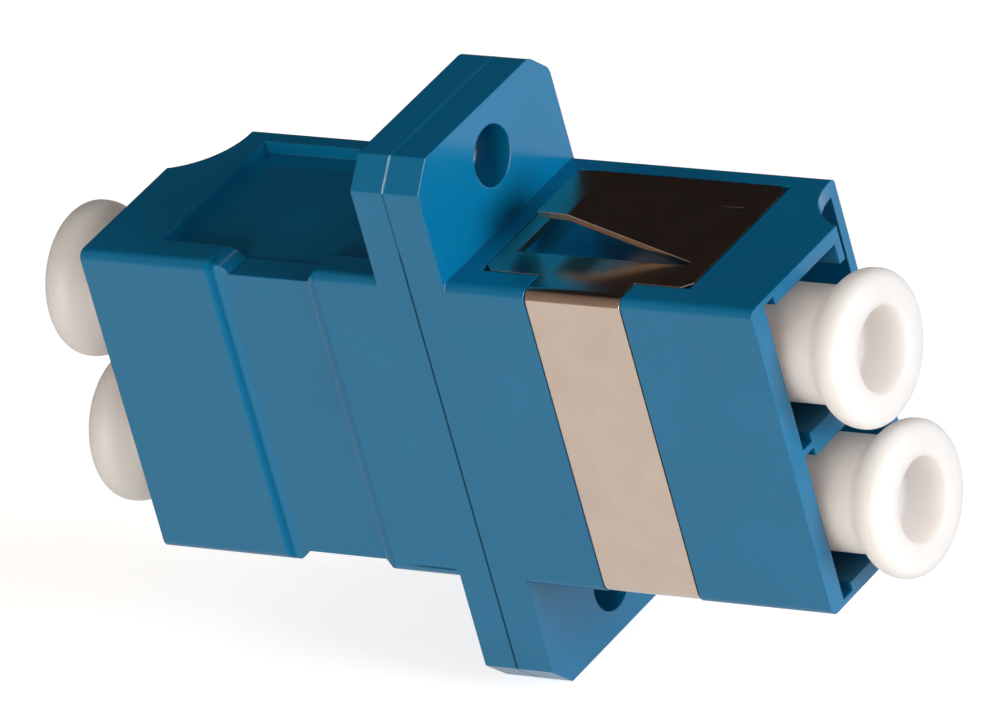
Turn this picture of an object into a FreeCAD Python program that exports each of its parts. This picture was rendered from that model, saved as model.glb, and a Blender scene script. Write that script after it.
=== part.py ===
# Duplex LC fibre adapter with a screw flange and a snap-in retaining clip.
#
# Frame: +X runs along the light path towards the clip half, the half that goes
# through the panel.  +Y is the latch side of the ports and +Z runs along the flange
# from the lower screw hole to the upper one.  The origin is the centre of the flange
# face that meets the panel.  All lengths are in millimetres.
import FreeCAD, Part
import math
import os
import Sketcher
from FreeCAD import Placement, Rotation, Vector

SIZES = [
    # alias, value, what it is
    ("body_height", 12.7, "housing along Z"),
    ("near_side", 4.65, "near face of housing and flange, from the screw holes"),
    ("latch_side", 4.45, "latch face of housing and flange, from the screw holes"),
    ("near_round", 0.36, "rounding of the housing's long near edges"),
    ("latch_round", 0.2, "rounding of the housing's long latch-side edges"),
    ("front_length", 13.2, "clip half, from the flange to its mouth"),
    ("rear_length", 13.22, "plain half, from the flange to its mouth"),
    ("front_plate", 1.53, "flange plate of the clip half"),
    ("rear_plate", 1.4, "flange plate of the plain half"),
    ("screw_clear", 2.65, "screw hole's centre beyond the housing"),
    ("flange_margin", 2.05, "flange beyond the screw hole's centre"),
    ("flange_chamfer", 1.0, "flange corners"),
    ("flange_round", 0.6, "rounding where the latch-side corners meet the faces"),
    ("screw_bore", 2.3, "screw hole"),
    ("port_pitch", 6.25, "between the two light paths"),
    ("port_side", -1.38, "light paths along Y"),
    ("plug_room_deep", 4.8, "plug cavity along Y"),
    ("plug_room_wide", 4.7, "plug cavity along Z"),
    ("mouth_wide", 5.33, "port mouth along Z"),
    ("mouth_length", 2.4, "depth of the widened mouth"),
    ("corner_relief", 0.65, "relief slot in the mouth's near corners, along Y"),
    ("relief_wide", 6.0, "mouth along Z at the relief slots"),
    ("shoulder_thick", 0.55, "latch shoulder along Y"),
    ("shoulder_gap", 3.7, "slot between the two latch shoulders of a port"),
    ("shoulder_length", 3.4, "latch shoulder along X"),
    ("latch_room", 9.0, "depth of the latch channel"),
    ("latch_wall", 0.42, "wall behind the latch channel"),
    ("web_thick", 2.0, "web of each half at the seam"),
    ("holder_outer", 2.9, "sleeve holder tube, outside"),
    ("holder_lip", 0.7, "lip that traps the sleeve"),
    ("lip_bore", 1.45, "ferrule hole through the lip"),
    ("lead_in", 0.2, "chamfer where a ferrule enters the lip"),
    ("scallop_radius", 3.0, "finger scallop at the latch corner of each mouth"),
    ("scallop_out", 1.04, "scallop centre beyond the mouth"),
    ("scallop_side", 0.25, "scallop centre inside the latch face"),
    ("sleeve_length", 6.4, "split sleeve"),
    ("sleeve_outer", 1.6, "split sleeve, outside"),
    ("sleeve_bore", 1.25, "split sleeve, inside"),
    ("sleeve_slit", 0.3, "slit of the split sleeve"),
    ("sleeve_play", 0.06, "clearance round the sleeve"),
    ("sleeve_end_play", 0.1, "clearance at each end of the sleeve"),
    ("sheet", 0.26, "clip sheet"),
    ("clip_gap", 0.06, "gap round the clip in its recess"),
    ("bend_inner", 0.2, "inner radius of the clip's two folds"),
    ("plate_start", 0.95, "clip plate, from the flange"),
    ("plate_length", 8.9, "clip plate along X"),
    ("plate_near", -3.4, "near edge of the clip plate"),
    ("plate_far", 3.6, "latch-side edge of the clip plate"),
    ("plate_corner", 0.35, "cut corners of the clip plate"),
    ("band_start", 3.47, "clip band, from the flange"),
    ("band_width", 4.05, "clip band along X"),
    ("window_start", 1.6, "window in the clip plate, from the flange"),
    ("window_depth", 4.05, "window in the clip plate along Y"),
    ("tab_root", 8.9, "root of the spring tab, from the flange"),
    ("tab_root_width", 3.5, "spring tab along Y at its root"),
    ("tab_tip_width", 2.86, "spring tab along Y at its tip"),
    ("tab_tip", 2.5, "tip of the spring tab, from the flange"),
    ("tab_lip", 1.35, "flat lip at the tip of the spring tab"),
    ("tab_rise", 1.4, "top of the tab's tip above the housing"),
    ("tab_room", 0.25, "recess under the spring tab, below the sheet"),
    ("pocket_start", 2.9, "relief pocket, from the plain half's mouth"),
    ("pocket_deep", 0.5, "depth of the relief pocket"),
    ("pocket_near", -3.3, "near edge of the relief pocket"),
    ("pocket_far", 3.72, "latch-side edge of the relief pocket"),
    ("block_length", 5.7, "end block of the plain half"),
    ("waist_length", 4.68, "waist behind the end block"),
    ("waist_drop", 0.45, "how far the waist's rim lies below the end block"),
    ("waist_inset", 0.15, "how far the waist's near face is set back"),
    ("waist_ramp", 0.42, "slope at the flange end of the waist"),
    ("waist_round", 0.9, "rounding where the end block drops to the waist"),
    ("cap_stem", 4.28, "dust cap stem"),
    ("cap_fit", 0.05, "clearance between a cap and the sleeve holder"),
    ("cap_inside", 12.2, "how far a cap reaches into its port"),
    ("cap_socket", 5.0, "depth of the socket that grips the sleeve holder"),
    ("cap_neck", 1.0, "stem beyond the mouth"),
    ("cap_flare", 0.8, "cone between the stem and the rim"),
    ("cap_rim", 5.76, "rim of a cap"),
    ("cap_rim_thick", 1.02, "rim of a cap along X"),
    ("cap_rim_chamfer", 0.34, "chamfer of the rim's two edges"),
    ("cap_bore", 3.15, "blind hole in the cap's front"),
    ("cap_bore_deep", 1.87, "depth of the blind hole"),
    ("cap_bore_chamfer", 0.15, "chamfer of the blind hole's edge"),
    ("cap_socket_chamfer", 0.3, "lead-in of the cap's stem"),
]

doc = FreeCAD.newDocument("lc_duplex_adapter")
sheet = doc.addObject("Spreadsheet::Sheet", "sizes")
for row, (alias, size, meaning) in enumerate(SIZES, start=1):
    sheet.set(f"A{row}", meaning)
    sheet.set(f"B{row}", str(size))
    sheet.setAlias(f"B{row}", alias)
doc.recompute()

ALIASES = sorted((alias for alias, size, meaning in SIZES), key=len, reverse=True)
TOUCHING = 1e-4
SIGNS = ("0 +", "0 -")


def bound(formula):
    """The formula with each size spelled as the sheet's own cell."""
    words = formula.replace("(", " ( ").replace(")", " ) ").split()
    return " ".join(f"sizes.{word}" if word in ALIASES else word for word in words)


def worth(formula):
    """The formula's present value."""
    return float(sheet.evalExpression(bound(formula)))


# Places along X that more than one piece uses, each as a formula of the sheet's sizes.
SEAM = "( 0 - front_plate )"
REAR_FACE = "( 0 - front_plate - rear_plate )"
HALF_HEIGHT = "( body_height / 2 )"
SCREW_UP = f"( {HALF_HEIGHT} + screw_clear )"
FLANGE_UP = f"( {SCREW_UP} + flange_margin )"
NEAR_FACE = "( 0 - near_side )"
PORT_UP = "( port_pitch / 2 )"
PLUG_NEAR = "( port_side - plug_room_deep / 2 )"
PLUG_FAR = "( port_side + plug_room_deep / 2 )"
CHANNEL_NEAR = f"( {PLUG_FAR} + shoulder_thick )"
CHANNEL_FAR = "( latch_side - latch_wall )"
PLATE_END = "( plate_start + plate_length )"
BAND_END = "( band_start + band_width )"
HOLDER_REACH = "( sleeve_length / 2 + sleeve_end_play + holder_lip )"
SLEEVE_ROOM = "( sleeve_outer + sleeve_play * 2 )"


def new_body(label):
    body = doc.addObject("PartDesign::Body", label)
    body.Label = label
    return body


def plane_of(body, role):
    return next(feature for feature in body.Origin.OriginFeatures if feature.Role == role)


def new_sketch(body, name, role, offset="0"):
    """A sketch on one of the body's origin planes, moved along the plane's normal."""
    sketch = body.newObject("Sketcher::SketchObject", name)
    sketch.AttachmentSupport = [(plane_of(body, role), "")]
    sketch.MapMode = "FlatFace"
    sketch.setExpression(".AttachmentOffset.Base.z", bound(offset))
    return sketch


def pin(sketch, geometry, point, across, up):
    """Hold a sketch point at two formulas of the sheet's sizes."""
    for kind, axis, formula in (("DistanceX", -2, across), ("DistanceY", -1, up)):
        distance = worth(formula)
        if abs(distance) < TOUCHING:
            sketch.addConstraint(Sketcher.Constraint("PointOnObject", geometry, point, axis))
            continue
        index = sketch.addConstraint(
            Sketcher.Constraint(kind, -1, 1, geometry, point, distance))
        sketch.setExpression(f"Constraints[{index}]", bound(formula))


def outline(sketch, corners):
    """A closed outline of straight lines through the given pairs of formulas."""
    first = sketch.GeometryCount
    points = [Vector(worth(across), worth(up), 0) for across, up in corners]
    count = len(points)
    for i in range(count):
        sketch.addGeometry(Part.LineSegment(points[i], points[(i + 1) % count]))
    for i in range(count):
        after = first + (i + 1) % count
        sketch.addConstraint(Sketcher.Constraint("Coincident", first + i, 2, after, 1))
    for i, (across, up) in enumerate(corners):
        pin(sketch, first + i, 1, across, up)


def rectangle(sketch, left, right, low, high):
    outline(sketch, [(left, low), (right, low), (right, high), (left, high)])


def hollow(sketch, start, ramp, end, face, inward, depth, radius):
    """A shallow hollow between two places along X: a ramp, a floor and a curved rise.

    The rise is an arc that meets the face at its end without an edge; inward is the
    sign that leads from the face into the solid.
    """
    floor = f"{face} {inward} ( {depth} )"
    deep, round_off = worth(depth), worth(radius)
    run = math.sqrt(2 * round_off * deep - deep * deep)
    foot = Vector(worth(end) - run, worth(floor), 0)
    spots = [Vector(worth(start), worth(face), 0),
             Vector(worth(f"{start} + {ramp}"), worth(floor), 0), foot]
    top = Vector(worth(end), worth(face), 0)
    centre = Vector(worth(end), worth(f"{face} {inward} {radius}"), 0)
    lean = math.asin(run / round_off)
    turn = math.pi / 2 if inward == "-" else -math.pi / 2
    first, last = sorted((turn, turn + math.copysign(lean, turn)))
    for begin, finish in ((spots[0], spots[1]), (spots[1], foot), (top, spots[0])):
        sketch.addGeometry(Part.LineSegment(begin, finish))
    arc = sketch.addGeometry(
        Part.ArcOfCircle(Part.Circle(centre, Vector(0, 0, 1), round_off), first, last))
    foot_end, top_end = (2, 1) if inward == "-" else (1, 2)
    for one, one_end, other, other_end in ((0, 2, 1, 1), (1, 2, arc, foot_end),
                                           (arc, top_end, 2, 1), (2, 2, 0, 1)):
        sketch.addConstraint(
            Sketcher.Constraint("Coincident", one, one_end, other, other_end))
    pin(sketch, 0, 1, start, face)
    pin(sketch, 1, 1, f"{start} + {ramp}", floor)
    pin(sketch, arc, 3, end, f"{face} {inward} {radius}")
    pin(sketch, 2, 1, end, face)
    sketch.addConstraint(Sketcher.Constraint("Horizontal", 1))


def circle(sketch, across, up, diameter):
    centre = Vector(worth(across), worth(up), 0)
    radius = worth(diameter) / 2
    index = sketch.addGeometry(Part.Circle(centre, Vector(0, 0, 1), radius))
    pin(sketch, index, 3, across, up)
    size = sketch.addConstraint(Sketcher.Constraint("Diameter", index, radius * 2))
    sketch.setExpression(f"Constraints[{size}]", bound(diameter))


def pad(body, name, sketch, length, reverse=False):
    feature = body.newObject("PartDesign::Pad", name)
    feature.Profile = sketch
    feature.setExpression("Length", bound(length))
    feature.Reversed = reverse
    return built(body, feature, adds=True)


def pocket(body, name, sketch, length, reverse=False):
    """A cut of the given depth against the sketch's normal, or along it if reversed."""
    feature = body.newObject("PartDesign::Pocket", name)
    feature.Profile = sketch
    feature.setExpression("Length", bound(length))
    feature.Reversed = reverse
    return built(body, feature, adds=False)


def pocket_both_ways(body, name, sketch, length):
    feature = body.newObject("PartDesign::Pocket", name)
    feature.Profile = sketch
    feature.setExpression("Length", bound(length))
    feature.Midplane = True
    return built(body, feature, adds=False)


def built(body, feature, adds):
    """Recompute, and stop if the feature changed nothing or went the wrong way."""
    before = getattr(feature.BaseFeature, "Shape", None)
    start = before.Volume if before and not before.isNull() else 0.0
    doc.recompute()
    change = feature.Shape.Volume - start
    if change == 0 or (change > 0) != adds:
        raise RuntimeError(f"{body.Label}: {feature.Label} changed the volume by {change}")
    return feature


def edges_through(feature, points):
    """Names of the feature's edges that pass through the points (three formulas each)."""
    names = []
    for formulas in points:
        spot = Part.Vertex(*(worth(formula) for formula in formulas))
        found = [f"Edge{number}" for number, edge in enumerate(feature.Shape.Edges, start=1)
                 if edge.distToShape(spot)[0] < TOUCHING]
        if len(found) != 1:
            raise RuntimeError(f"{feature.Label}: {len(found)} edges at {formulas}")
        names += found
    return names


def dress(body, kind, name, points, size):
    """A Fillet or Chamfer on the edges of the body's tip that pass through the points."""
    tip = body.Tip
    feature = body.newObject(f"PartDesign::{kind}", name)
    feature.Base = (tip, edges_through(tip, points))
    feature.setExpression("Radius" if kind == "Fillet" else "Size", bound(size))
    doc.recompute()
    if "Invalid" in feature.State or feature.Shape.isNull() or not feature.Shape.isValid():
        raise RuntimeError(f"{body.Label}: {name} failed")
    return feature


def mirror_down(body, name, originals):
    """Repeat the upper features below the mid-plane between the two ports."""
    feature = body.newObject("PartDesign::Mirrored", name)
    feature.Originals = originals
    feature.MirrorPlane = (plane_of(body, "XY_Plane"), [""])
    body.Tip = feature
    doc.recompute()
    return feature


# ---------------------------------------------------------------- housing halves


def housing_shell(body, plate, length):
    """Flange plate and the broken-edged block behind its mouth.

    The half is drawn with the flange's outer face at X = 0, the seam at -plate and the
    mouth at +length.
    """
    flange = new_sketch(body, "flange_outline", "YZ_Plane", f"0 - {plate}")
    cut_up = f"( {FLANGE_UP} - flange_chamfer )"
    near_cut = f"( {NEAR_FACE} + flange_chamfer )"
    latch_cut = "( latch_side - flange_chamfer )"
    outline(flange, [
        (near_cut, f"0 - {FLANGE_UP}"), (latch_cut, f"0 - {FLANGE_UP}"),
        ("latch_side", f"0 - {cut_up}"), ("latch_side", cut_up), (latch_cut, FLANGE_UP),
        (near_cut, FLANGE_UP), (NEAR_FACE, cut_up), (NEAR_FACE, f"0 - {cut_up}")])
    pad(body, "flange_plate", flange, plate)
    corners = [(f"0 - {plate} / 2", side, f"{sign} {height}") for sign in SIGNS
               for side, height in (("latch_side", cut_up), (latch_cut, FLANGE_UP))]
    dress(body, "Fillet", "flange_rounding", corners, "flange_round")

    block = new_sketch(body, "block_outline", "YZ_Plane")
    rectangle(block, NEAR_FACE, "latch_side", f"0 - {HALF_HEIGHT}", HALF_HEIGHT)
    pad(body, "block", block, length)
    for name, side, size in (("near_edges", NEAR_FACE, "near_round"),
                             ("latch_edges", "latch_side", "latch_round")):
        edges = [(f"{length} / 2", side, f"{sign} {HALF_HEIGHT}") for sign in SIGNS]
        dress(body, "Fillet", name, edges, size)

    screws = new_sketch(body, "screw_centres", "YZ_Plane")
    for sign in SIGNS:
        circle(screws, "0", f"{sign} {SCREW_UP}", "screw_bore")
    pocket(body, "screw_holes", screws, plate)

    scallop = new_sketch(body, "scallop_outline", "XY_Plane")
    circle(scallop, f"{length} + scallop_out", "latch_side - scallop_side",
           "scallop_radius * 2")
    pocket_both_ways(body, "finger_scallop", scallop, "body_height")


def port_features(body, plate, length):
    """The upper port: plug cavity, latch channel, shoulders, and the sleeve holder."""
    cuts = []

    def cut(name, inset, rectangles, depth):
        """Rectangles (low Y, high Y, width along Z) cut inwards from a depth in the port."""
        sketch = new_sketch(body, f"{name}_outline", "YZ_Plane", f"{length} - {inset}")
        for low, high, width in rectangles:
            rectangle(sketch, low, high, f"{PORT_UP} - {width} / 2", f"{PORT_UP} + {width} / 2")
        cuts.append(pocket(body, name, sketch, depth))

    floor = f"( web_thick - {plate} )"
    cut("plug_cavity", "0", [(PLUG_NEAR, PLUG_FAR, "plug_room_wide")], f"{length} - {floor}")
    cut("shoulder_slot", "0", [(PLUG_FAR, CHANNEL_NEAR, "shoulder_gap")], "latch_room")
    cut("latch_channel", "0", [(CHANNEL_NEAR, CHANNEL_FAR, "plug_room_wide")], "latch_room")
    cut("latch_window", "shoulder_length", [(PLUG_FAR, CHANNEL_NEAR, "plug_room_wide")],
        "latch_room - shoulder_length")
    cut("wide_mouth", "0", [(PLUG_NEAR, PLUG_FAR, "mouth_wide"),
                            (CHANNEL_NEAR, CHANNEL_FAR, "mouth_wide")], "mouth_length")
    cut("corner_reliefs", "0", [(PLUG_NEAR, f"{PLUG_NEAR} + corner_relief", "relief_wide")],
        "mouth_length")

    tube = new_sketch(body, "holder_outline", "YZ_Plane", floor)
    circle(tube, "port_side", PORT_UP, "holder_outer")
    holder = pad(body, "sleeve_holder", tube, f"{HOLDER_REACH} - web_thick")

    room = new_sketch(body, "sleeve_room_outline", "YZ_Plane", f"0 - {plate}")
    circle(room, "port_side", PORT_UP, SLEEVE_ROOM)
    sleeve_room = pocket(body, "sleeve_room", room,
                         "sleeve_length / 2 + sleeve_end_play", reverse=True)

    entry = new_sketch(body, "ferrule_outline", "YZ_Plane", f"0 - {plate}")
    circle(entry, "port_side", PORT_UP, "lip_bore")
    ferrule = pocket(body, "ferrule_hole", entry, HOLDER_REACH, reverse=True)
    return cuts + [holder, sleeve_room, ferrule]


def lead_ins(body, plate):
    """Chamfers that guide a ferrule into each sleeve holder."""
    tube_end = f"{HOLDER_REACH} - {plate}"
    mouths = [(tube_end, "port_side - lip_bore / 2", f"{sign} {PORT_UP}") for sign in SIGNS]
    dress(body, "Chamfer", "ferrule_lead_in", mouths, "lead_in")


def front_housing():
    """The clip half, with the flush recess that holds the retaining clip."""
    body = new_body("front_housing")
    housing_shell(body, "front_plate", "front_length")
    upper = port_features(body, "front_plate", "front_length")

    near_gap = "( plate_near - clip_gap )"
    seat = new_sketch(body, "plate_seat_outline", "XY_Plane", HALF_HEIGHT)
    outline(seat, [
        ("plate_start - clip_gap", near_gap), ("band_start - clip_gap", near_gap),
        ("band_start - clip_gap", NEAR_FACE),
        (f"{BAND_END} + clip_gap", NEAR_FACE),
        (f"{BAND_END} + clip_gap", near_gap), (f"{PLATE_END} + clip_gap", near_gap),
        (f"{PLATE_END} + clip_gap", "plate_far + clip_gap"),
        ("plate_start - clip_gap", "plate_far + clip_gap")])
    upper.append(pocket(body, "plate_seat", seat, "sheet"))

    room = new_sketch(body, "tab_room_outline", "XY_Plane", HALF_HEIGHT)
    rectangle(room, "window_start", "tab_root", "0 - window_depth / 2", "window_depth / 2")
    upper.append(pocket(body, "tab_room", room, "sheet + tab_room"))

    mirror_down(body, "lower_port", upper)

    channel = new_sketch(body, "band_channel_outline", "XZ_Plane", "near_side")
    rectangle(channel, "band_start - clip_gap", f"{BAND_END} + clip_gap",
              f"0 - {HALF_HEIGHT}", HALF_HEIGHT)
    pocket(body, "band_channel", channel, "sheet")

    middle = "band_start + band_width / 2"
    folds = [(middle, f"{NEAR_FACE} + sheet", f"{sign} ( {HALF_HEIGHT} - sheet )")
             for sign in SIGNS]
    dress(body, "Fillet", "fold_seats", folds, "bend_inner")
    lead_ins(body, "front_plate")
    return body


def rear_housing():
    """The plain half: end block, relieved waist and shallow pockets above and below."""
    body = new_body("rear_housing")
    housing_shell(body, "rear_plate", "rear_length")
    upper = port_features(body, "rear_plate", "rear_length")

    relief = new_sketch(body, "relief_pocket_outline", "XY_Plane", HALF_HEIGHT)
    rectangle(relief, "0", "rear_length - pocket_start", "pocket_near", "pocket_far")
    upper.append(pocket(body, "relief_pocket", relief, "pocket_deep"))

    block_end = "( rear_length - block_length )"
    waist_end = f"( {block_end} - waist_length )"
    rim = new_sketch(body, "rim_drop_outline", "XZ_Plane", "near_side")
    hollow(rim, waist_end, "waist_ramp", block_end, HALF_HEIGHT, "-", "waist_drop",
           "waist_round")
    upper.append(pocket(body, "rim_drop", rim, "near_side + pocket_near"))

    mirror_down(body, "lower_port", upper)

    waist = new_sketch(body, "waist_outline", "XY_Plane")
    hollow(waist, waist_end, "waist_ramp", block_end, NEAR_FACE, "+", "waist_inset",
           "waist_round")
    pocket_both_ways(body, "waist", waist, "body_height")
    lead_ins(body, "rear_plate")
    body.Placement = Placement(Vector(), Rotation(Vector(0, 1, 0), 180))
    body.setExpression(".Placement.Base.x", bound(REAR_FACE))
    return body


# ---------------------------------------------------------------- retaining clip


def retaining_clip():
    """One folded sheet: a band, two plates and a spring tab lanced out of each plate."""
    body = new_body("retaining_clip")
    inner_y = f"( {NEAR_FACE} + sheet )"
    inner_z = f"( {HALF_HEIGHT} - sheet )"
    fold = new_sketch(body, "folded_section", "YZ_Plane", "plate_start")
    outline(fold, [
        ("plate_far", HALF_HEIGHT), (NEAR_FACE, HALF_HEIGHT),
        (NEAR_FACE, f"0 - {HALF_HEIGHT}"), ("plate_far", f"0 - {HALF_HEIGHT}"),
        ("plate_far", f"0 - {inner_z}"), (inner_y, f"0 - {inner_z}"),
        (inner_y, inner_z), ("plate_far", inner_z)])
    pad(body, "folded_sheet", fold, "plate_length")

    middle = "plate_start + plate_length / 2"
    dress(body, "Fillet", "outer_folds",
          [(middle, NEAR_FACE, f"{sign} {HALF_HEIGHT}") for sign in SIGNS],
          "bend_inner + sheet")
    dress(body, "Fillet", "inner_folds",
          [(middle, inner_y, f"{sign} {inner_z}") for sign in SIGNS], "bend_inner")

    trim = new_sketch(body, "band_trim_outline", "XZ_Plane", "near_side")
    for left, right in (("plate_start", "band_start"), (BAND_END, PLATE_END)):
        rectangle(trim, left, right, f"0 - {HALF_HEIGHT}", HALF_HEIGHT)
    pocket(body, "band_sides", trim, "near_side + plate_near")

    corners = [(x, y, f"{sign} ( {HALF_HEIGHT} - sheet / 2 )") for sign in SIGNS
               for x in ("plate_start", PLATE_END) for y in ("plate_near", "plate_far")]
    dress(body, "Chamfer", "plate_corners", corners, "plate_corner")

    window = new_sketch(body, "window_outline", "XY_Plane")
    rectangle(window, "window_start", "tab_root", "0 - window_depth / 2", "window_depth / 2")
    pocket_both_ways(body, "windows", window, "body_height + sheet")

    side = new_sketch(body, "tab_profile", "XZ_Plane")
    top = f"( {HALF_HEIGHT} + tab_rise )"
    outline(side, [
        ("tab_root", HALF_HEIGHT), ("tab_tip + tab_lip", top), ("tab_tip", top),
        ("tab_tip", f"{top} - sheet"), ("tab_tip + tab_lip", f"{top} - sheet"),
        ("tab_root", inner_z)])
    tab = body.newObject("PartDesign::Pad", "upper_tab")
    tab.Profile = side
    tab.setExpression("Length", bound("tab_root_width"))
    tab.Midplane = True
    built(body, tab, adds=True)

    taper = new_sketch(body, "tab_taper_outline", "XY_Plane", top)
    for sign in SIGNS:
        outline(taper, [
            ("tab_root", f"{sign} tab_root_width / 2"),
            ("tab_tip", f"{sign} tab_root_width / 2"),
            ("tab_tip", f"{sign} tab_tip_width / 2")])
    sides = pocket(body, "tab_taper", taper, f"{top} - {inner_z}")
    mirror_down(body, "lower_tab", [tab, sides])
    return body


# ---------------------------------------------------------------- inner pieces and caps


def split_sleeve(label, sign):
    """A slit tube that lines up two ferrules, trapped between the two halves."""
    body = new_body(label)
    ring = new_sketch(body, "ring", "YZ_Plane", "0 - sleeve_length / 2")
    circle(ring, "0", "0", "sleeve_outer")
    circle(ring, "0", "0", "sleeve_bore")
    pad(body, "tube", ring, "sleeve_length")
    slit = new_sketch(body, "slit_outline", "XZ_Plane")
    rectangle(slit, "0 - sleeve_length / 2", "sleeve_length / 2",
              "0 - sleeve_slit / 2", "sleeve_slit / 2")
    pocket(body, "slit", slit, "sleeve_outer", reverse=True)
    body.setExpression(".Placement.Base.x", bound(SEAM))
    body.setExpression(".Placement.Base.y", bound("port_side"))
    body.setExpression(".Placement.Base.z", bound(f"{sign} {PORT_UP}"))
    return body


def dust_cap(label, mouth, turned, sign):
    """A turned-looking moulded plug: X = 0 at the port's mouth, its rim towards +X."""
    body = new_body(label)
    stem = "( cap_stem / 2 )"
    rim = "( cap_rim / 2 )"
    rim_back = "( cap_neck + cap_flare )"
    front = f"( {rim_back} + cap_rim_thick )"
    bore = "( cap_bore / 2 )"
    socket = "( holder_outer / 2 + cap_fit )"
    back = "( 0 - cap_inside )"
    profile = new_sketch(body, "cap_profile", "XY_Plane")
    outline(profile, [
        (back, f"{stem}"), ("cap_neck", stem), (rim_back, rim), (front, rim),
        (front, bore), (f"{front} - cap_bore_deep", bore), (f"{front} - cap_bore_deep", "0"),
        (f"{back} + cap_socket", "0"), (f"{back} + cap_socket", socket), (back, socket)])
    turn = body.newObject("PartDesign::Revolution", "cap_turn")
    turn.Profile = profile
    turn.ReferenceAxis = (profile, ["H_Axis"])
    turn.Angle = 360
    built(body, turn, adds=True)
    dress(body, "Chamfer", "rim_chamfers",
          [(rim_back, "0", rim), (front, "0", rim)], "cap_rim_chamfer")
    dress(body, "Chamfer", "bore_chamfer", [(front, "0", bore)], "cap_bore_chamfer")
    dress(body, "Chamfer", "stem_lead_in", [(back, "0", stem)], "cap_socket_chamfer")
    if turned:
        body.Placement = Placement(Vector(), Rotation(Vector(0, 1, 0), 180))
    body.setExpression(".Placement.Base.x", bound(mouth))
    body.setExpression(".Placement.Base.y", bound("port_side"))
    body.setExpression(".Placement.Base.z", bound(f"{sign} {PORT_UP}"))
    return body


FRONT_MOUTH = "front_length"
REAR_MOUTH = f"{REAR_FACE} - rear_length"
parts = [front_housing(), rear_housing(), retaining_clip()]
for level, sign in (("upper", "0 +"), ("lower", "0 -")):
    parts.append(split_sleeve(f"{level}_sleeve", sign))
    parts.append(dust_cap(f"front_{level}_cap", FRONT_MOUTH, False, sign))
    parts.append(dust_cap(f"rear_{level}_cap", REAR_MOUTH, True, sign))

doc.recompute()
for item in doc.Objects:
    if "Invalid" in item.State or "Error" in item.State:
        raise RuntimeError(f"{item.Name} failed: {item.State}")
for part in parts:
    if part.Shape.isNull() or not part.Shape.isValid() or len(part.Shape.Solids) != 1:
        raise RuntimeError(f"{part.Label} isn't one valid solid")

os.makedirs("parts", exist_ok=True)
for part in parts:
    part.Shape.exportStep(f"parts/{part.Label}.step")
    box = part.Shape.BoundBox
    print(f"{part.Label}: {part.Shape.Volume:.3f} mm3, "
          f"X {box.XMin:.2f}..{box.XMax:.2f}  Y {box.YMin:.2f}..{box.YMax:.2f}  "
          f"Z {box.ZMin:.2f}..{box.ZMax:.2f}")
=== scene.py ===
"""Looks of a duplex LC fibre adapter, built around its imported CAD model.

The file is laid out as an add-on and run as a script.  Lengths are in metres in the
part's own frame: +X along the light paths towards the clip half, +Y to the latch side
and +Z along the flange, with the origin at the centre of the flange's panel face.
"""
import math

import bpy
import numpy as np
from bpy.props import (FloatProperty, FloatVectorProperty, IntProperty,
                       PointerProperty, StringProperty)
from mathutils import Matrix, Vector


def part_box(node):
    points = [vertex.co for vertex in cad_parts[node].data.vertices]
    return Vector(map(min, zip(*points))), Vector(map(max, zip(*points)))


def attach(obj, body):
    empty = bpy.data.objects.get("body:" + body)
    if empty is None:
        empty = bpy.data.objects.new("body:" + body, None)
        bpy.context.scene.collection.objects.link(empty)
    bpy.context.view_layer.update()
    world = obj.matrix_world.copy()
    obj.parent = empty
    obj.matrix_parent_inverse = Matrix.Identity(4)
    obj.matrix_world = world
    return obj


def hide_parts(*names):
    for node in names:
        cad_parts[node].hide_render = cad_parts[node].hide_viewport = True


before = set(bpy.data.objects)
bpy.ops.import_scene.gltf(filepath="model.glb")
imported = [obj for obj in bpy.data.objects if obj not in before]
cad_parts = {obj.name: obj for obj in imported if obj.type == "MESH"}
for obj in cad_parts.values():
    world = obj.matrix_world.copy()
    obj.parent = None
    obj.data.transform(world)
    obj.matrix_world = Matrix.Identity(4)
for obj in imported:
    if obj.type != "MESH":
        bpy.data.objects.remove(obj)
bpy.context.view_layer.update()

bl_info = {
    "name": "Duplex LC adapter",
    "version": (1, 0, 0),
    "blender": (4, 5, 0),
    "location": "3D View > Sidebar > Adapter",
    "description": "Dresses the packed adapter: housing, clip, caps, sleeves and stage",
    "category": "Object",
}

MM = 0.001
HOUSINGS = ("front_housing", "rear_housing")
CAPS = ("front_upper_cap", "front_lower_cap", "rear_upper_cap", "rear_lower_cap")
SLEEVES = ("upper_sleeve", "lower_sleeve")
# Half-width of the soft hairline at the seam and at the crease, where shade is painted, and
# of the ledge's bump.
MARK_WIDE = 0.07 * MM
# Reflection flags: name, degrees round from +X, metres away, half-width and cloth.
FLAGS = (("flag_behind", 130, 0.28, 0.3, "black_flock"),
         ("flag_right", 45, 0.36, 0.2, "black_flock"),
         ("flag_left", 205, 0.3, 0.26, "brown_felt"))


# ---------------------------------------------------------------- colours and nodes


def linear(hex_colour):
    """An sRGB colour such as "#0074A8" as linear red, green, blue and alpha."""
    parts = [int(hex_colour[i:i + 2], 16) / 255 for i in (1, 3, 5)]
    return tuple(c / 12.92 if c <= 0.04045 else ((c + 0.055) / 1.055) ** 2.4
                 for c in parts) + (1.0,)


def add(tree, kind, inputs=None, **settings):
    """A node with its settings; an input is a value, or another node's output to link."""
    made = tree.nodes.new(kind)
    for name, value in settings.items():
        setattr(made, name, value)
    for name, value in (inputs or {}).items():
        socket = made.inputs[name]
        if isinstance(value, bpy.types.NodeSocket):
            tree.links.new(value, socket)
        else:
            socket.default_value = value
    return made


def new_material(name):
    """An empty node material and its tree."""
    material = bpy.data.materials.new(name)
    material.use_nodes = True
    material.node_tree.nodes.clear()
    return material, material.node_tree


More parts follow.
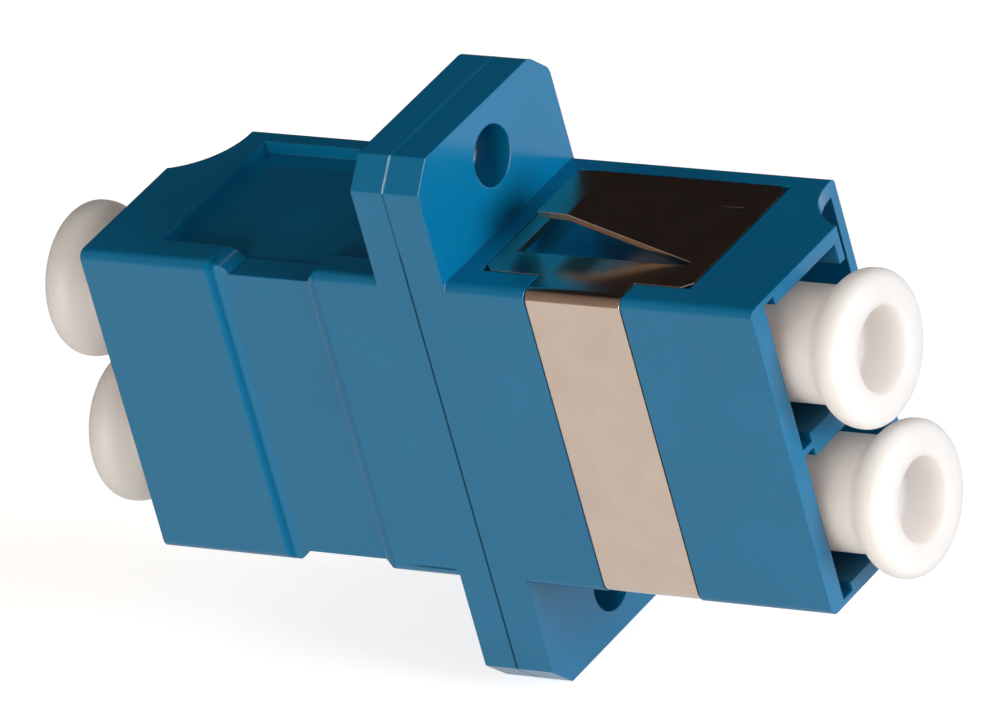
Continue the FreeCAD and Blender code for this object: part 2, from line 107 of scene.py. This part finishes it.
def two_tones(tree, factor, shade, light, spread=0.2):
    """A colour between two tones, which are reached this far either side of one half."""
    made = add(tree, "ShaderNodeValToRGB", {"Fac": factor})
    first, last = made.color_ramp.elements
    first.position, first.color = 0.5 - spread, linear(shade)
    last.position, last.color = 0.5 + spread, linear(light)
    return made.outputs["Color"]


def mixed_colours(tree, factor, one, other):
    """One colour where the factor is 0, and the other where it is 1."""
    return add(tree, "ShaderNodeMix", {"Factor": factor, "A": one, "B": other},
               data_type="RGBA").outputs["Result"]


def noise(tree, place, size, detail=2.0):
    """Soft noise with blots about this size across."""
    return add(tree, "ShaderNodeTexNoise", {
        "Vector": place, "Scale": 1 / size, "Detail": detail}).outputs["Fac"]


def bump(tree, height, strength, distance, over=None):
    """The normal of a bumpy skin, laid over another normal where one is given."""
    inputs = {"Height": height, "Strength": strength, "Distance": distance}
    if over is not None:
        inputs["Normal"] = over
    return add(tree, "ShaderNodeBump", inputs).outputs["Normal"]


def spread_between(tree, value, middle, below, above):
    """A value from 0 to 1, carried to the stretch round a middle."""
    return add(tree, "ShaderNodeMapRange", {
        "Value": value, "To Min": middle - below, "To Max": middle + above}
    ).outputs["Result"]


def fade(tree, value, start, end, first=0.0, last=1.0):
    """A smooth change from first to last as the value goes from start to end."""
    made = add(tree, "ShaderNodeMapRange", {
        "Value": value, "From Min": start, "From Max": end, "To Min": first,
        "To Max": last}, interpolation_type="SMOOTHSTEP")
    return made.outputs["Result"]


def reckon(tree, operation, *values):
    """The output of a math node that does this operation."""
    return add(tree, "ShaderNodeMath", dict(enumerate(values)),
               operation=operation).outputs[0]


def times(tree, one, other):
    """The product of two node outputs."""
    return reckon(tree, "MULTIPLY", one, other)


def away(tree, value, place):
    """How far a value lies from a place, to either side."""
    return reckon(tree, "ABSOLUTE", reckon(tree, "SUBTRACT", value, place))


def band(tree, value, begin, full, end, gone):
    """1 from full to end, with a smooth rise from begin and a smooth fall to gone."""
    return times(tree, fade(tree, value, begin, full),
                 fade(tree, value, end, gone, 1.0, 0.0))


def finish_surface(tree, shader):
    """Join a shader to the material's surface."""
    add(tree, "ShaderNodeOutputMaterial", {"Surface": shader.outputs[0]})


# ---------------------------------------------------------------- materials


def painted_groove_shade(tree, along, proud, looks):
    """Painted shade in two hairline grooves: the weld seam where it isn't proud, and a short
    crease.

    The crease runs beside the flange, just above the near lower edge.
    """
    seam = times(tree, fade(tree, away(tree, along["X"], looks.seam_x), 0.01 * MM,
                            MARK_WIDE, 1.0, 0.0),
                 fade(tree, proud, 0.0, 1.0, 1.0, 0.0))
    crease = fade(tree, away(tree, along["Z"], looks.crease_z), 0.0, MARK_WIDE, 1.0, 0.0)
    crease = times(tree, crease, band(tree, along["X"], -5.6 * MM, -4.2 * MM,
                                      -3.1 * MM, -2.95 * MM))
    crease = times(tree, crease, fade(tree, along["Y"], -4.3 * MM, -4.25 * MM, 0.8, 0.0))
    return reckon(tree, "MAXIMUM", seam, crease)


def moulded_housing_plastic(looks):
    """Injection-moulded PBT: a satin skin, soft sink marks and a weld line at the seam.

    The hairlines of the seam and of a crease are painted shade, and the brow is painted
    light and shade.
    """
    material, tree = new_material("moulded_pbt")
    at = add(tree, "ShaderNodeTexCoord").outputs["Object"]
    along = add(tree, "ShaderNodeSeparateXYZ", {"Vector": at}).outputs
    brow_x, rise_x = looks.brow_x, looks.rise_x

    # Slow tone drift where the melt flowed, with painted shade over it in the hairlines of
    # the seam and the crease.
    tone = two_tones(tree, noise(tree, at, 5 * MM), looks.housing_deep,
                     looks.housing_blue, 0.15)
    proud = fade(tree, along["Z"], looks.proud_from, looks.proud_from + 0.8 * MM)
    # The marks are painted shade: the seam and crease hairlines darken the tone.
    marks = painted_groove_shade(tree, along, proud, looks)
    tone = mixed_colours(tree, marks, tone, linear(looks.groove_shade_blue))
    gloss = fade(tree, marks, 0.0, 1.0, 0.5, 0.05)

    # On the near side the waist's rise to the flange shows only softly, so its gloss is
    # lowered to keep the chamfer there from catching a bright line.
    near = fade(tree, along["Y"], -4.1 * MM, -4.0 * MM, 1.0, 0.0)
    rise = band(tree, along["X"], rise_x - 0.5 * MM, rise_x - 0.2 * MM,
                rise_x - 0.01 * MM, rise_x + 0.07 * MM)
    gloss = times(tree, gloss, fade(tree, times(tree, near, rise), 0.0, 1.0, 1.0, 0.3))

    # The block's end falls to the waist in a rounded brow that shows clear blue with
    # little gloss.  The CAD model has a plain chamfer there, so the brow's light and shade
    # are painted into the colour: a painted highlight where it begins, painted shade where
    # it ends.
    brow = times(tree, near, band(tree, along["X"], brow_x - 0.18 * MM, brow_x - 0.08 * MM,
                                  brow_x + 0.14 * MM, brow_x + 0.34 * MM))
    gloss = times(tree, gloss, fade(tree, brow, 0.0, 1.0, 1.0, 0.15))
    brow_painted_light = mixed_colours(
        tree, fade(tree, along["X"], brow_x - 0.1 * MM, brow_x + 0.25 * MM),
        linear(looks.brow_painted_highlight), linear(looks.brow_painted_shade))
    tone = mixed_colours(tree, brow, tone, brow_painted_light)

    # Soft edges, shallow sink over the ribs and fine spark-eroded tool grain.  Above
    # proud_from the rear plate stands a little proud of the front one.
    grain = noise(tree, at, 0.12 * MM)
    normal = add(tree, "ShaderNodeBevel", {"Radius": 0.09 * MM}, samples=6)
    normal = bump(tree, noise(tree, at, 3.5 * MM, 1.0), 0.12, 0.06 * MM,
                  normal.outputs["Normal"])
    normal = bump(tree, grain, 0.16, 0.008 * MM, normal)
    ledge = fade(tree, along["X"], looks.seam_x - MARK_WIDE, looks.seam_x + MARK_WIDE,
                 1.0, 0.0)
    normal = bump(tree, ledge, proud, 0.16 * MM, normal)
    shader = add(tree, "ShaderNodeBsdfPrincipled", {
        "Base Color": tone, "Specular IOR Level": gloss, "IOR": 1.5, "Normal": normal,
        "Roughness": spread_between(tree, grain, looks.housing_roughness, 0.05, 0.07)})
    finish_surface(tree, shader)
    return material


def rolled_stainless(looks):
    """Cold-rolled stainless spring strip: warm grey with short rolling lines."""
    material, tree = new_material("rolled_stainless")
    at = add(tree, "ShaderNodeTexCoord").outputs["Object"]
    # Rolling lines run round the fold, so the pattern is stretched along Y and Z.
    lines = add(tree, "ShaderNodeMapping", {
        "Vector": at, "Scale": (1 / (0.09 * MM), 1 / (0.5 * MM), 1 / (0.5 * MM))})
    rolled = noise(tree, lines.outputs["Vector"], 1.0, 3.0)
    edge = add(tree, "ShaderNodeBevel", {"Radius": 0.05 * MM}, samples=6)
    shader = add(tree, "ShaderNodeBsdfPrincipled", {
        "Base Color": two_tones(tree, noise(tree, at, 1.4 * MM, 3.0), looks.steel_dark,
                                looks.steel_warm),
        "Metallic": 1.0,
        "Roughness": spread_between(tree, rolled, looks.steel_roughness, 0.05, 0.08),
        "Normal": bump(tree, rolled, 0.25, 0.004 * MM, edge.outputs["Normal"])})
    finish_surface(tree, shader)
    return material


def soft_polythene(looks):
    """Warm white low-density polythene: light soaks a little way into it."""
    material, tree = new_material("white_polythene")
    at = add(tree, "ShaderNodeTexCoord").outputs["Object"]
    shader = add(tree, "ShaderNodeBsdfPrincipled", {
        "Base Color": two_tones(tree, noise(tree, at, 2.5 * MM), looks.cap_shade,
                                looks.cap_white),
        "Roughness": 0.48, "IOR": 1.51, "Subsurface Weight": 1.0,
        "Subsurface Radius": (1.0, 0.94, 0.88), "Subsurface Scale": 3.2 * MM,
        "Normal": bump(tree, noise(tree, at, 0.15 * MM), 0.15, 0.01 * MM)})
    finish_surface(tree, shader)
    return material


def ground_zirconia(looks):
    """Centreless-ground zirconia: ivory and glossy, with fine rings from the wheel."""
    material, tree = new_material("ground_zirconia")
    at = add(tree, "ShaderNodeTexCoord").outputs["Object"]
    rings = add(tree, "ShaderNodeTexWave", {
        "Vector": at, "Scale": 1 / (0.9 * MM), "Distortion": 1.0},
        wave_type="BANDS", bands_direction="X")
    shader = add(tree, "ShaderNodeBsdfPrincipled", {
        "Base Color": two_tones(tree, noise(tree, at, 0.8 * MM), looks.sleeve_shade,
                                looks.sleeve_ivory),
        "Roughness": 0.2, "IOR": 2.1,
        "Normal": bump(tree, rings.outputs["Fac"], 0.1, 0.002 * MM)})
    finish_surface(tree, shader)
    return material


def dress(names, material):
    """Give CAD nodes a material in every one of their slots."""
    for name in names:
        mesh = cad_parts[name].data
        if not mesh.materials:
            mesh.materials.append(material)
        for i in range(len(mesh.materials)):
            mesh.materials[i] = material


# ---------------------------------------------------------------- surfaces


def rounded_profile(corners, steps):
    """A profile of straight runs with an arc at each rounded corner.

    Each corner is (x, r, radius).  The arc touches both runs, its centre lies on the
    corner's bisector, and it turns through the angle between the runs.
    """
    points = np.array([corner[:2] for corner in corners], float)
    outline = [points[:1]]
    for i, radius in ((i, corners[i][2]) for i in range(1, len(corners) - 1)):
        corner = points[i]
        back, ahead = points[i - 1] - corner, points[i + 1] - corner
        back, ahead = back / np.linalg.norm(back), ahead / np.linalg.norm(ahead)
        if radius == 0:
            outline.append(corner[None])
            continue
        half = math.acos(np.clip(back @ ahead, -1, 1)) / 2
        middle = (back + ahead) / np.linalg.norm(back + ahead)
        centre = corner + middle * radius / math.sin(half)
        begin = corner + back * radius / math.tan(half) - centre
        end = corner + ahead * radius / math.tan(half) - centre
        sweep = math.pi - 2 * half
        t = np.linspace(0, 1, steps)[:, None]
        arc = (np.sin((1 - t) * sweep) * begin + np.sin(t * sweep) * end) / math.sin(sweep)
        outline.append(centre + arc)
    outline.append(points[-1:])
    return np.concatenate(outline)


def turned_surface(name, outline, origin, facing, sides):
    """A mesh turned about the X direction: (x, r cos a, r sin a) for a round the circle.

    The outline starts and ends on the axis, where single pole points close it.
    """
    x, r = outline[1:-1, 0], outline[1:-1, 1]
    a = np.arange(sides) * (2 * math.pi / sides)
    ring = np.stack([np.repeat(x[:, None], sides, 1) * facing,
                     r[:, None] * np.cos(a), r[:, None] * np.sin(a) * facing], -1)
    points = np.concatenate([
        ring.reshape(-1, 3), [[outline[0, 0] * facing, 0, 0]],
        [[outline[-1, 0] * facing, 0, 0]]]) + np.array(origin)
    i, j = np.meshgrid(np.arange(len(x) - 1), np.arange(sides), indexing="ij")
    here, beside = i * sides + j, i * sides + (j + 1) % sides
    quads = np.stack([here, here + sides, beside + sides, beside], -1).reshape(-1, 4)
    last = (len(x) - 1) * sides
    j = np.arange(sides)
    first_pole, last_pole = len(x) * sides, len(x) * sides + 1
    fans = [np.stack([np.full(sides, first_pole), j, (j + 1) % sides], -1),
            np.stack([np.full(sides, last_pole), last + (j + 1) % sides, last + j], -1)]
    mesh = bpy.data.meshes.new(name)
    mesh.from_pydata(points.tolist(), [], quads.tolist() + fans[0].tolist()
                     + fans[1].tolist())
    mesh.polygons.foreach_set("use_smooth", np.ones(len(mesh.polygons), bool))
    mesh.update()
    return mesh


def cap_outline(caps, back, front, rim):
    """Half a dust cap's section, from the socket's floor round to the blind hole's floor.

    The stem flares to the rim in a soft neck.  The blind hole narrows a little inwards.
    """
    floor = front - caps.bore_deep
    return rounded_profile([
        (back + caps.socket_deep, 0, 0), (back + caps.socket_deep, caps.socket, 0.2 * MM),
        (back, caps.socket, 0.1 * MM), (back, caps.stem, 0.3 * MM),
        (caps.flare_start, caps.stem, caps.neck_round), (caps.flare_end, rim, 0.9 * MM),
        (front, rim, caps.rim_round), (front, caps.bore, caps.lip_round),
        (floor, caps.bore * 0.98, 0.2 * MM), (floor, 0, 0)], 13)


def place_piece(name, mesh, material, body, replaced):
    """Put a finished mesh in the scene on its body, in place of its CAD node."""
    piece = bpy.data.objects.new(name, mesh)
    bpy.context.scene.collection.objects.link(piece)
    mesh.materials.append(material)
    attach(piece, body)
    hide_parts(replaced)


# ---------------------------------------------------------------- properties


def colour(name, description, default):
    """A property that holds an sRGB colour as text."""
    return StringProperty(name=name, description=description, default=default)


def length(name, description, default):
    """A property that holds a length in metres."""
    return FloatProperty(name=name, description=description, default=default, unit="LENGTH")


class AdapterLooks(bpy.types.PropertyGroup):
    """Colours and finishes of the adapter's pieces."""

    housing_blue: colour("Housing blue", "Colour of the moulded halves", "#026F9C")
    housing_deep: colour("Housing deep blue", "Darker tone in the flow marks", "#026B97")
    # Painted shade in the hairlines of the seam and the crease.
    groove_shade_blue: colour("Mark blue", "Colour of the seam's hairline and the crease", "#013850")
    # Painted light on the brow: a painted highlight where it begins and painted shade where
    # it ends.
    brow_painted_highlight: colour("Brow blue", "Colour where the brow begins", "#0278AC")
    brow_painted_shade: colour("Brow deep blue", "Colour where the brow ends", "#025E86")
    steel_warm: colour("Steel", "Colour of the clip's sheet", "#D8C5B6")
    steel_dark: colour("Steel shade", "Darker tone in the clip's sheet", "#D1BEAF")
    cap_white: colour("Cap white", "Colour of the dust caps", "#F3EAE4")
    cap_shade: colour("Cap shade", "Darker tone in the dust caps", "#EEE4DD")
    sleeve_ivory: colour("Sleeve ivory", "Colour of the split sleeves", "#F2EEE2")
    sleeve_shade: colour("Sleeve shade", "Darker tone in the split sleeves", "#E6E0D2")
    housing_roughness: FloatProperty(
        name="Housing roughness", description="Gloss of the moulded skin",
        default=0.17, min=0.05, max=0.9, subtype="FACTOR")
    steel_roughness: FloatProperty(
        name="Steel roughness", description="Gloss of the rolled strip",
        default=0.16, min=0.05, max=0.9, subtype="FACTOR")
    seam_x: length("Seam", "Weld seam of the two halves along X",
                   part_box("rear_housing")[1].x)
    proud_from: length("Proud from", "Height above which the rear plate stands proud",
                       7.2 * MM)
    brow_x: length("Brow", "Start along X of the fall from the end block",
                   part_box("rear_housing")[0].x + 5.7 * MM)
    rise_x: length("Rise", "End along X of the waist's rise to the flange",
                   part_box("rear_housing")[0].x + 10.38 * MM)
    crease_z: length("Crease", "Height of the short moulding crease", -5.95 * MM)


class AdapterCaps(bpy.types.PropertyGroup):
    """Sizes of a dust cap, along X from its port's mouth and out from its axis."""

    stem: length("Stem", "Radius of the stem", 2.14 * MM)
    socket: length("Socket", "Radius of the socket in the inner end", 1.5 * MM)
    socket_deep: length("Socket depth", "Depth of the socket", 5.0 * MM)
    bore: length("Bore", "Radius of the blind hole in the face", 1.575 * MM)
    bore_deep: length("Bore depth", "Depth of the blind hole", 1.87 * MM)
    flare_start: length("Flare start", "Where the stem begins to flare", 1.05 * MM)
    flare_end: length("Flare end", "Where the flare reaches the rim", 1.85 * MM)
    neck_round: length("Neck round", "Hollow between stem and rim", 0.5 * MM)
    rim_round: length("Rim round", "Rounding of the rim's front", 0.5 * MM)
    lip_round: length("Lip round", "Rounding of the blind hole's lip", 0.15 * MM)
    sides: IntProperty(
        name="Sides", description="Faces round each cap", default=128, min=24, max=256)


class AdapterStage(bpy.types.PropertyGroup):
    """Camera's place, lens and framing."""

    azimuth: FloatProperty(
        name="Azimuth", description="Camera's turn round the part",
        default=math.radians(39.47), subtype="ANGLE")
    elevation: FloatProperty(
        name="Elevation", description="Camera's height above the level",
        default=math.radians(27.81), subtype="ANGLE")
    roll: FloatProperty(
        name="Roll", description="Camera's lean", default=math.radians(-15.65),
        subtype="ANGLE")
    distance: length("Distance", "Camera to the part's origin", 0.5173)
    lens: FloatProperty(
        name="Lens", description="Focal length in millimetres", default=514.8)
    shift: FloatVectorProperty(
        name="Shift", description="Framing, as shares of the image's width",
        size=2, default=(-0.05097, 0.01307))


# ---------------------------------------------------------------- operators


class ADAPTER_OT_housing(bpy.types.Operator):
    """Dress both halves of the housing as satin moulded plastic"""

    bl_idname = "adapter.housing"
    bl_label = "Housing"

    def execute(self, context):
        dress(HOUSINGS, moulded_housing_plastic(context.scene.adapter_looks))
        return {"FINISHED"}


class ADAPTER_OT_clip(bpy.types.Operator):
    """Dress the retaining clip as rolled stainless strip"""

    bl_idname = "adapter.clip"
    bl_label = "Retaining clip"

    def execute(self, context):
        dress(("retaining_clip",), rolled_stainless(context.scene.adapter_looks))
        return {"FINISHED"}


class ADAPTER_OT_caps(bpy.types.Operator):
    """Turn the four dust caps with their flared necks and soft rims"""

    bl_idname = "adapter.caps"
    bl_label = "Dust caps"

    def execute(self, context):
        caps = context.scene.adapter_caps
        material = soft_polythene(context.scene.adapter_looks)
        for name in CAPS:
            low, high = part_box(name)
            facing = 1 if name.startswith("front") else -1
            # From the mouth, out along X: the inner end lies at back, the face at front.
            if facing > 0:
                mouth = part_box("front_housing")[1].x
                front = high.x - mouth
            else:
                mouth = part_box("rear_housing")[0].x
                front = mouth - low.x
            back = front - (high.x - low.x)
            origin = (mouth, (low.y + high.y) / 2, (low.z + high.z) / 2)
            outline = cap_outline(caps, back, front, (high.y - low.y) / 2)
            mesh = turned_surface(f"{name}_turned", outline, origin, facing, caps.sides)
            place_piece(f"{name}_turned", mesh, material, name, name)
        return {"FINISHED"}


class ADAPTER_OT_sleeves(bpy.types.Operator):
    """Dress the two split sleeves as ground zirconia"""

    bl_idname = "adapter.sleeves"
    bl_label = "Split sleeves"

    def execute(self, context):
        dress(SLEEVES, ground_zirconia(context.scene.adapter_looks))
        return {"FINISHED"}


def lamp(name, toward, power, tint, distance=0.6, size=0.3):
    """A square soft box that shines at the part from the given direction."""
    data = bpy.data.lights.new(name, "AREA")
    data.shape, data.size, data.energy = "SQUARE", size, power
    data.color = linear(tint)[:3]
    box = bpy.data.objects.new(name, data)
    bpy.context.scene.collection.objects.link(box)
    away = Vector(toward).normalized()
    box.location = away * distance
    box.rotation_mode = "QUATERNION"
    box.rotation_quaternion = away.to_track_quat("Z", "Y")
    box.visible_camera = False


def shown_rays(tree, gloss):
    """1 for rays to the camera and through glass, and the gloss share for reflections."""
    rays = add(tree, "ShaderNodeLightPath").outputs
    mirrored = times(tree, rays["Is Glossy Ray"], gloss)
    shown = reckon(tree, "MAXIMUM", rays["Is Camera Ray"], mirrored)
    return reckon(tree, "MAXIMUM", shown, rays["Is Transmission Ray"])


def panel(name, centre, across, up, material):
    """A flat stage panel spanned by two half-width vectors."""
    centre, across, up = Vector(centre), Vector(across), Vector(up)
    mesh = bpy.data.meshes.new(name)
    mesh.from_pydata([centre - across - up, centre + across - up, centre + across + up,
                      centre - across + up], [], [(0, 1, 2, 3)])
    mesh.materials.append(material)
    made = bpy.data.objects.new(name, mesh)
    bpy.context.scene.collection.objects.link(made)
    return made


def white_floor():
    """White paint that looks evenly lit where it shows, and still takes the shadow."""
    material, tree = new_material("white_floor")
    paint = add(tree, "ShaderNodeBsdfDiffuse", {"Color": linear("#F4F4F4")})
    glow = add(tree, "ShaderNodeEmission", {"Color": (1, 1, 1, 1), "Strength": 0.69})
    lit = add(tree, "ShaderNodeAddShader", {0: paint.outputs[0], 1: glow.outputs[0]})
    mixed = add(tree, "ShaderNodeMixShader", {
        "Fac": shown_rays(tree, 0.56), 1: paint.outputs[0], 2: lit.outputs[0]})
    finish_surface(tree, mixed)
    return material


def plain_cloth(name, shade):
    """Dull cloth of one colour."""
    material, tree = new_material(name)
    finish_surface(tree, add(tree, "ShaderNodeBsdfDiffuse", {"Color": linear(shade)}))
    return material


def flag(name, centre, across, up, cloth):
    """A cloth panel for reflections alone: it keeps light off nothing."""
    made = panel(name, centre, across, up, cloth)
    made.visible_camera = made.visible_diffuse = made.visible_shadow = False


def studio_world():
    """White where it shows, and a soft warm grey as light."""
    world = bpy.data.worlds.new("studio")
    world.use_nodes = True
    tree = world.node_tree
    tree.nodes.clear()
    sky = mixed_colours(tree, shown_rays(tree, 1.0), linear("#827D78"), (1, 1, 1, 1))
    light = add(tree, "ShaderNodeBackground", {"Color": sky, "Strength": 1.0})
    add(tree, "ShaderNodeOutputWorld", {"Surface": light.outputs[0]})
    return world


def placed_camera(stage):
    """The camera, turned, tilted and leaned about the part's origin."""
    turn = Matrix.Rotation(stage.azimuth, 3, "Z")
    tilt = Matrix.Rotation(math.pi / 2 - stage.elevation, 3, "X")
    lean = Matrix.Rotation(stage.roll, 3, "Z")
    pose = turn @ tilt @ lean
    data = bpy.data.cameras.new("camera")
    data.sensor_width, data.lens = 36, stage.lens
    data.shift_x, data.shift_y = stage.shift
    data.clip_start, data.clip_end = 0.01, 10
    camera = bpy.data.objects.new("camera", data)
    bpy.context.scene.collection.objects.link(camera)
    camera.matrix_world = (Matrix.Translation(pose @ Vector((0, 0, stage.distance)))
                           @ pose.to_4x4())
    return camera


class ADAPTER_OT_stage(bpy.types.Operator):
    """Set the floor, the flags for reflections, the soft boxes and the camera"""

    bl_idname = "adapter.stage"
    bl_label = "Stage"

    def execute(self, context):
        scene = context.scene
        floor_z = min(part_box(name)[0].z for name in HOUSINGS) - 0.01 * MM
        panel("floor", (0, 0, floor_z), (3, 0, 0), (0, 3, 0), white_floor())

        cloths = {"black_flock": plain_cloth("black_flock", "#231F1D"),
                  "brown_felt": plain_cloth("brown_felt", "#8E8074")}
        upright = Vector((0, 0, 0.25))
        for name, turn, far, wide, cloth in FLAGS:
            out = Vector((math.cos(math.radians(turn)), math.sin(math.radians(turn)), 0))
            across = Vector((-out.y, out.x, 0)) * wide
            flag(name, out * far + upright, across, upright, cloths[cloth])
        flag("flag_above", (-0.1, 0, 0.5), (0.4, 0, 0), (0, 0.4, 0), cloths["black_flock"])

        lamp("right_box", (1.0, -0.02, 0.22), 3.5, "#F8FBFF")
        lamp("front_box", (0.1, -1.0, 0.14), 2.45, "#FFF6EC")
        scene.world = studio_world()
        scene.camera = placed_camera(scene.adapter_stage)
        scene.view_settings.view_transform = "Standard"
        return {"FINISHED"}


class ADAPTER_PT_pieces(bpy.types.Panel):
    """Buttons and values of the adapter"""

    bl_label = "Duplex LC adapter"
    bl_idname = "ADAPTER_PT_pieces"
    bl_space_type = "VIEW_3D"
    bl_region_type = "UI"
    bl_category = "Adapter"

    def draw(self, context):
        for made in OPERATORS:
            self.layout.operator(made.bl_idname)
        for group in (context.scene.adapter_looks, context.scene.adapter_caps,
                      context.scene.adapter_stage):
            for name in group.bl_rna.properties.keys():
                if name not in ("rna_type", "name"):
                    self.layout.prop(group, name)


OPERATORS = (ADAPTER_OT_housing, ADAPTER_OT_clip, ADAPTER_OT_caps, ADAPTER_OT_sleeves,
             ADAPTER_OT_stage)
CLASSES = (AdapterLooks, AdapterCaps, AdapterStage, *OPERATORS, ADAPTER_PT_pieces)


def register():
    for made in CLASSES:
        bpy.utils.register_class(made)
    bpy.types.Scene.adapter_looks = PointerProperty(type=AdapterLooks)
    bpy.types.Scene.adapter_caps = PointerProperty(type=AdapterCaps)
    bpy.types.Scene.adapter_stage = PointerProperty(type=AdapterStage)


def unregister():
    del bpy.types.Scene.adapter_looks, bpy.types.Scene.adapter_caps
    del bpy.types.Scene.adapter_stage
    for made in reversed(CLASSES):
        bpy.utils.unregister_class(made)


def main():
    register()
    bpy.ops.adapter.housing()
    bpy.ops.adapter.clip()
    bpy.ops.adapter.caps()
    bpy.ops.adapter.sleeves()
    bpy.ops.adapter.stage()


if __name__ == "__main__":
    main()
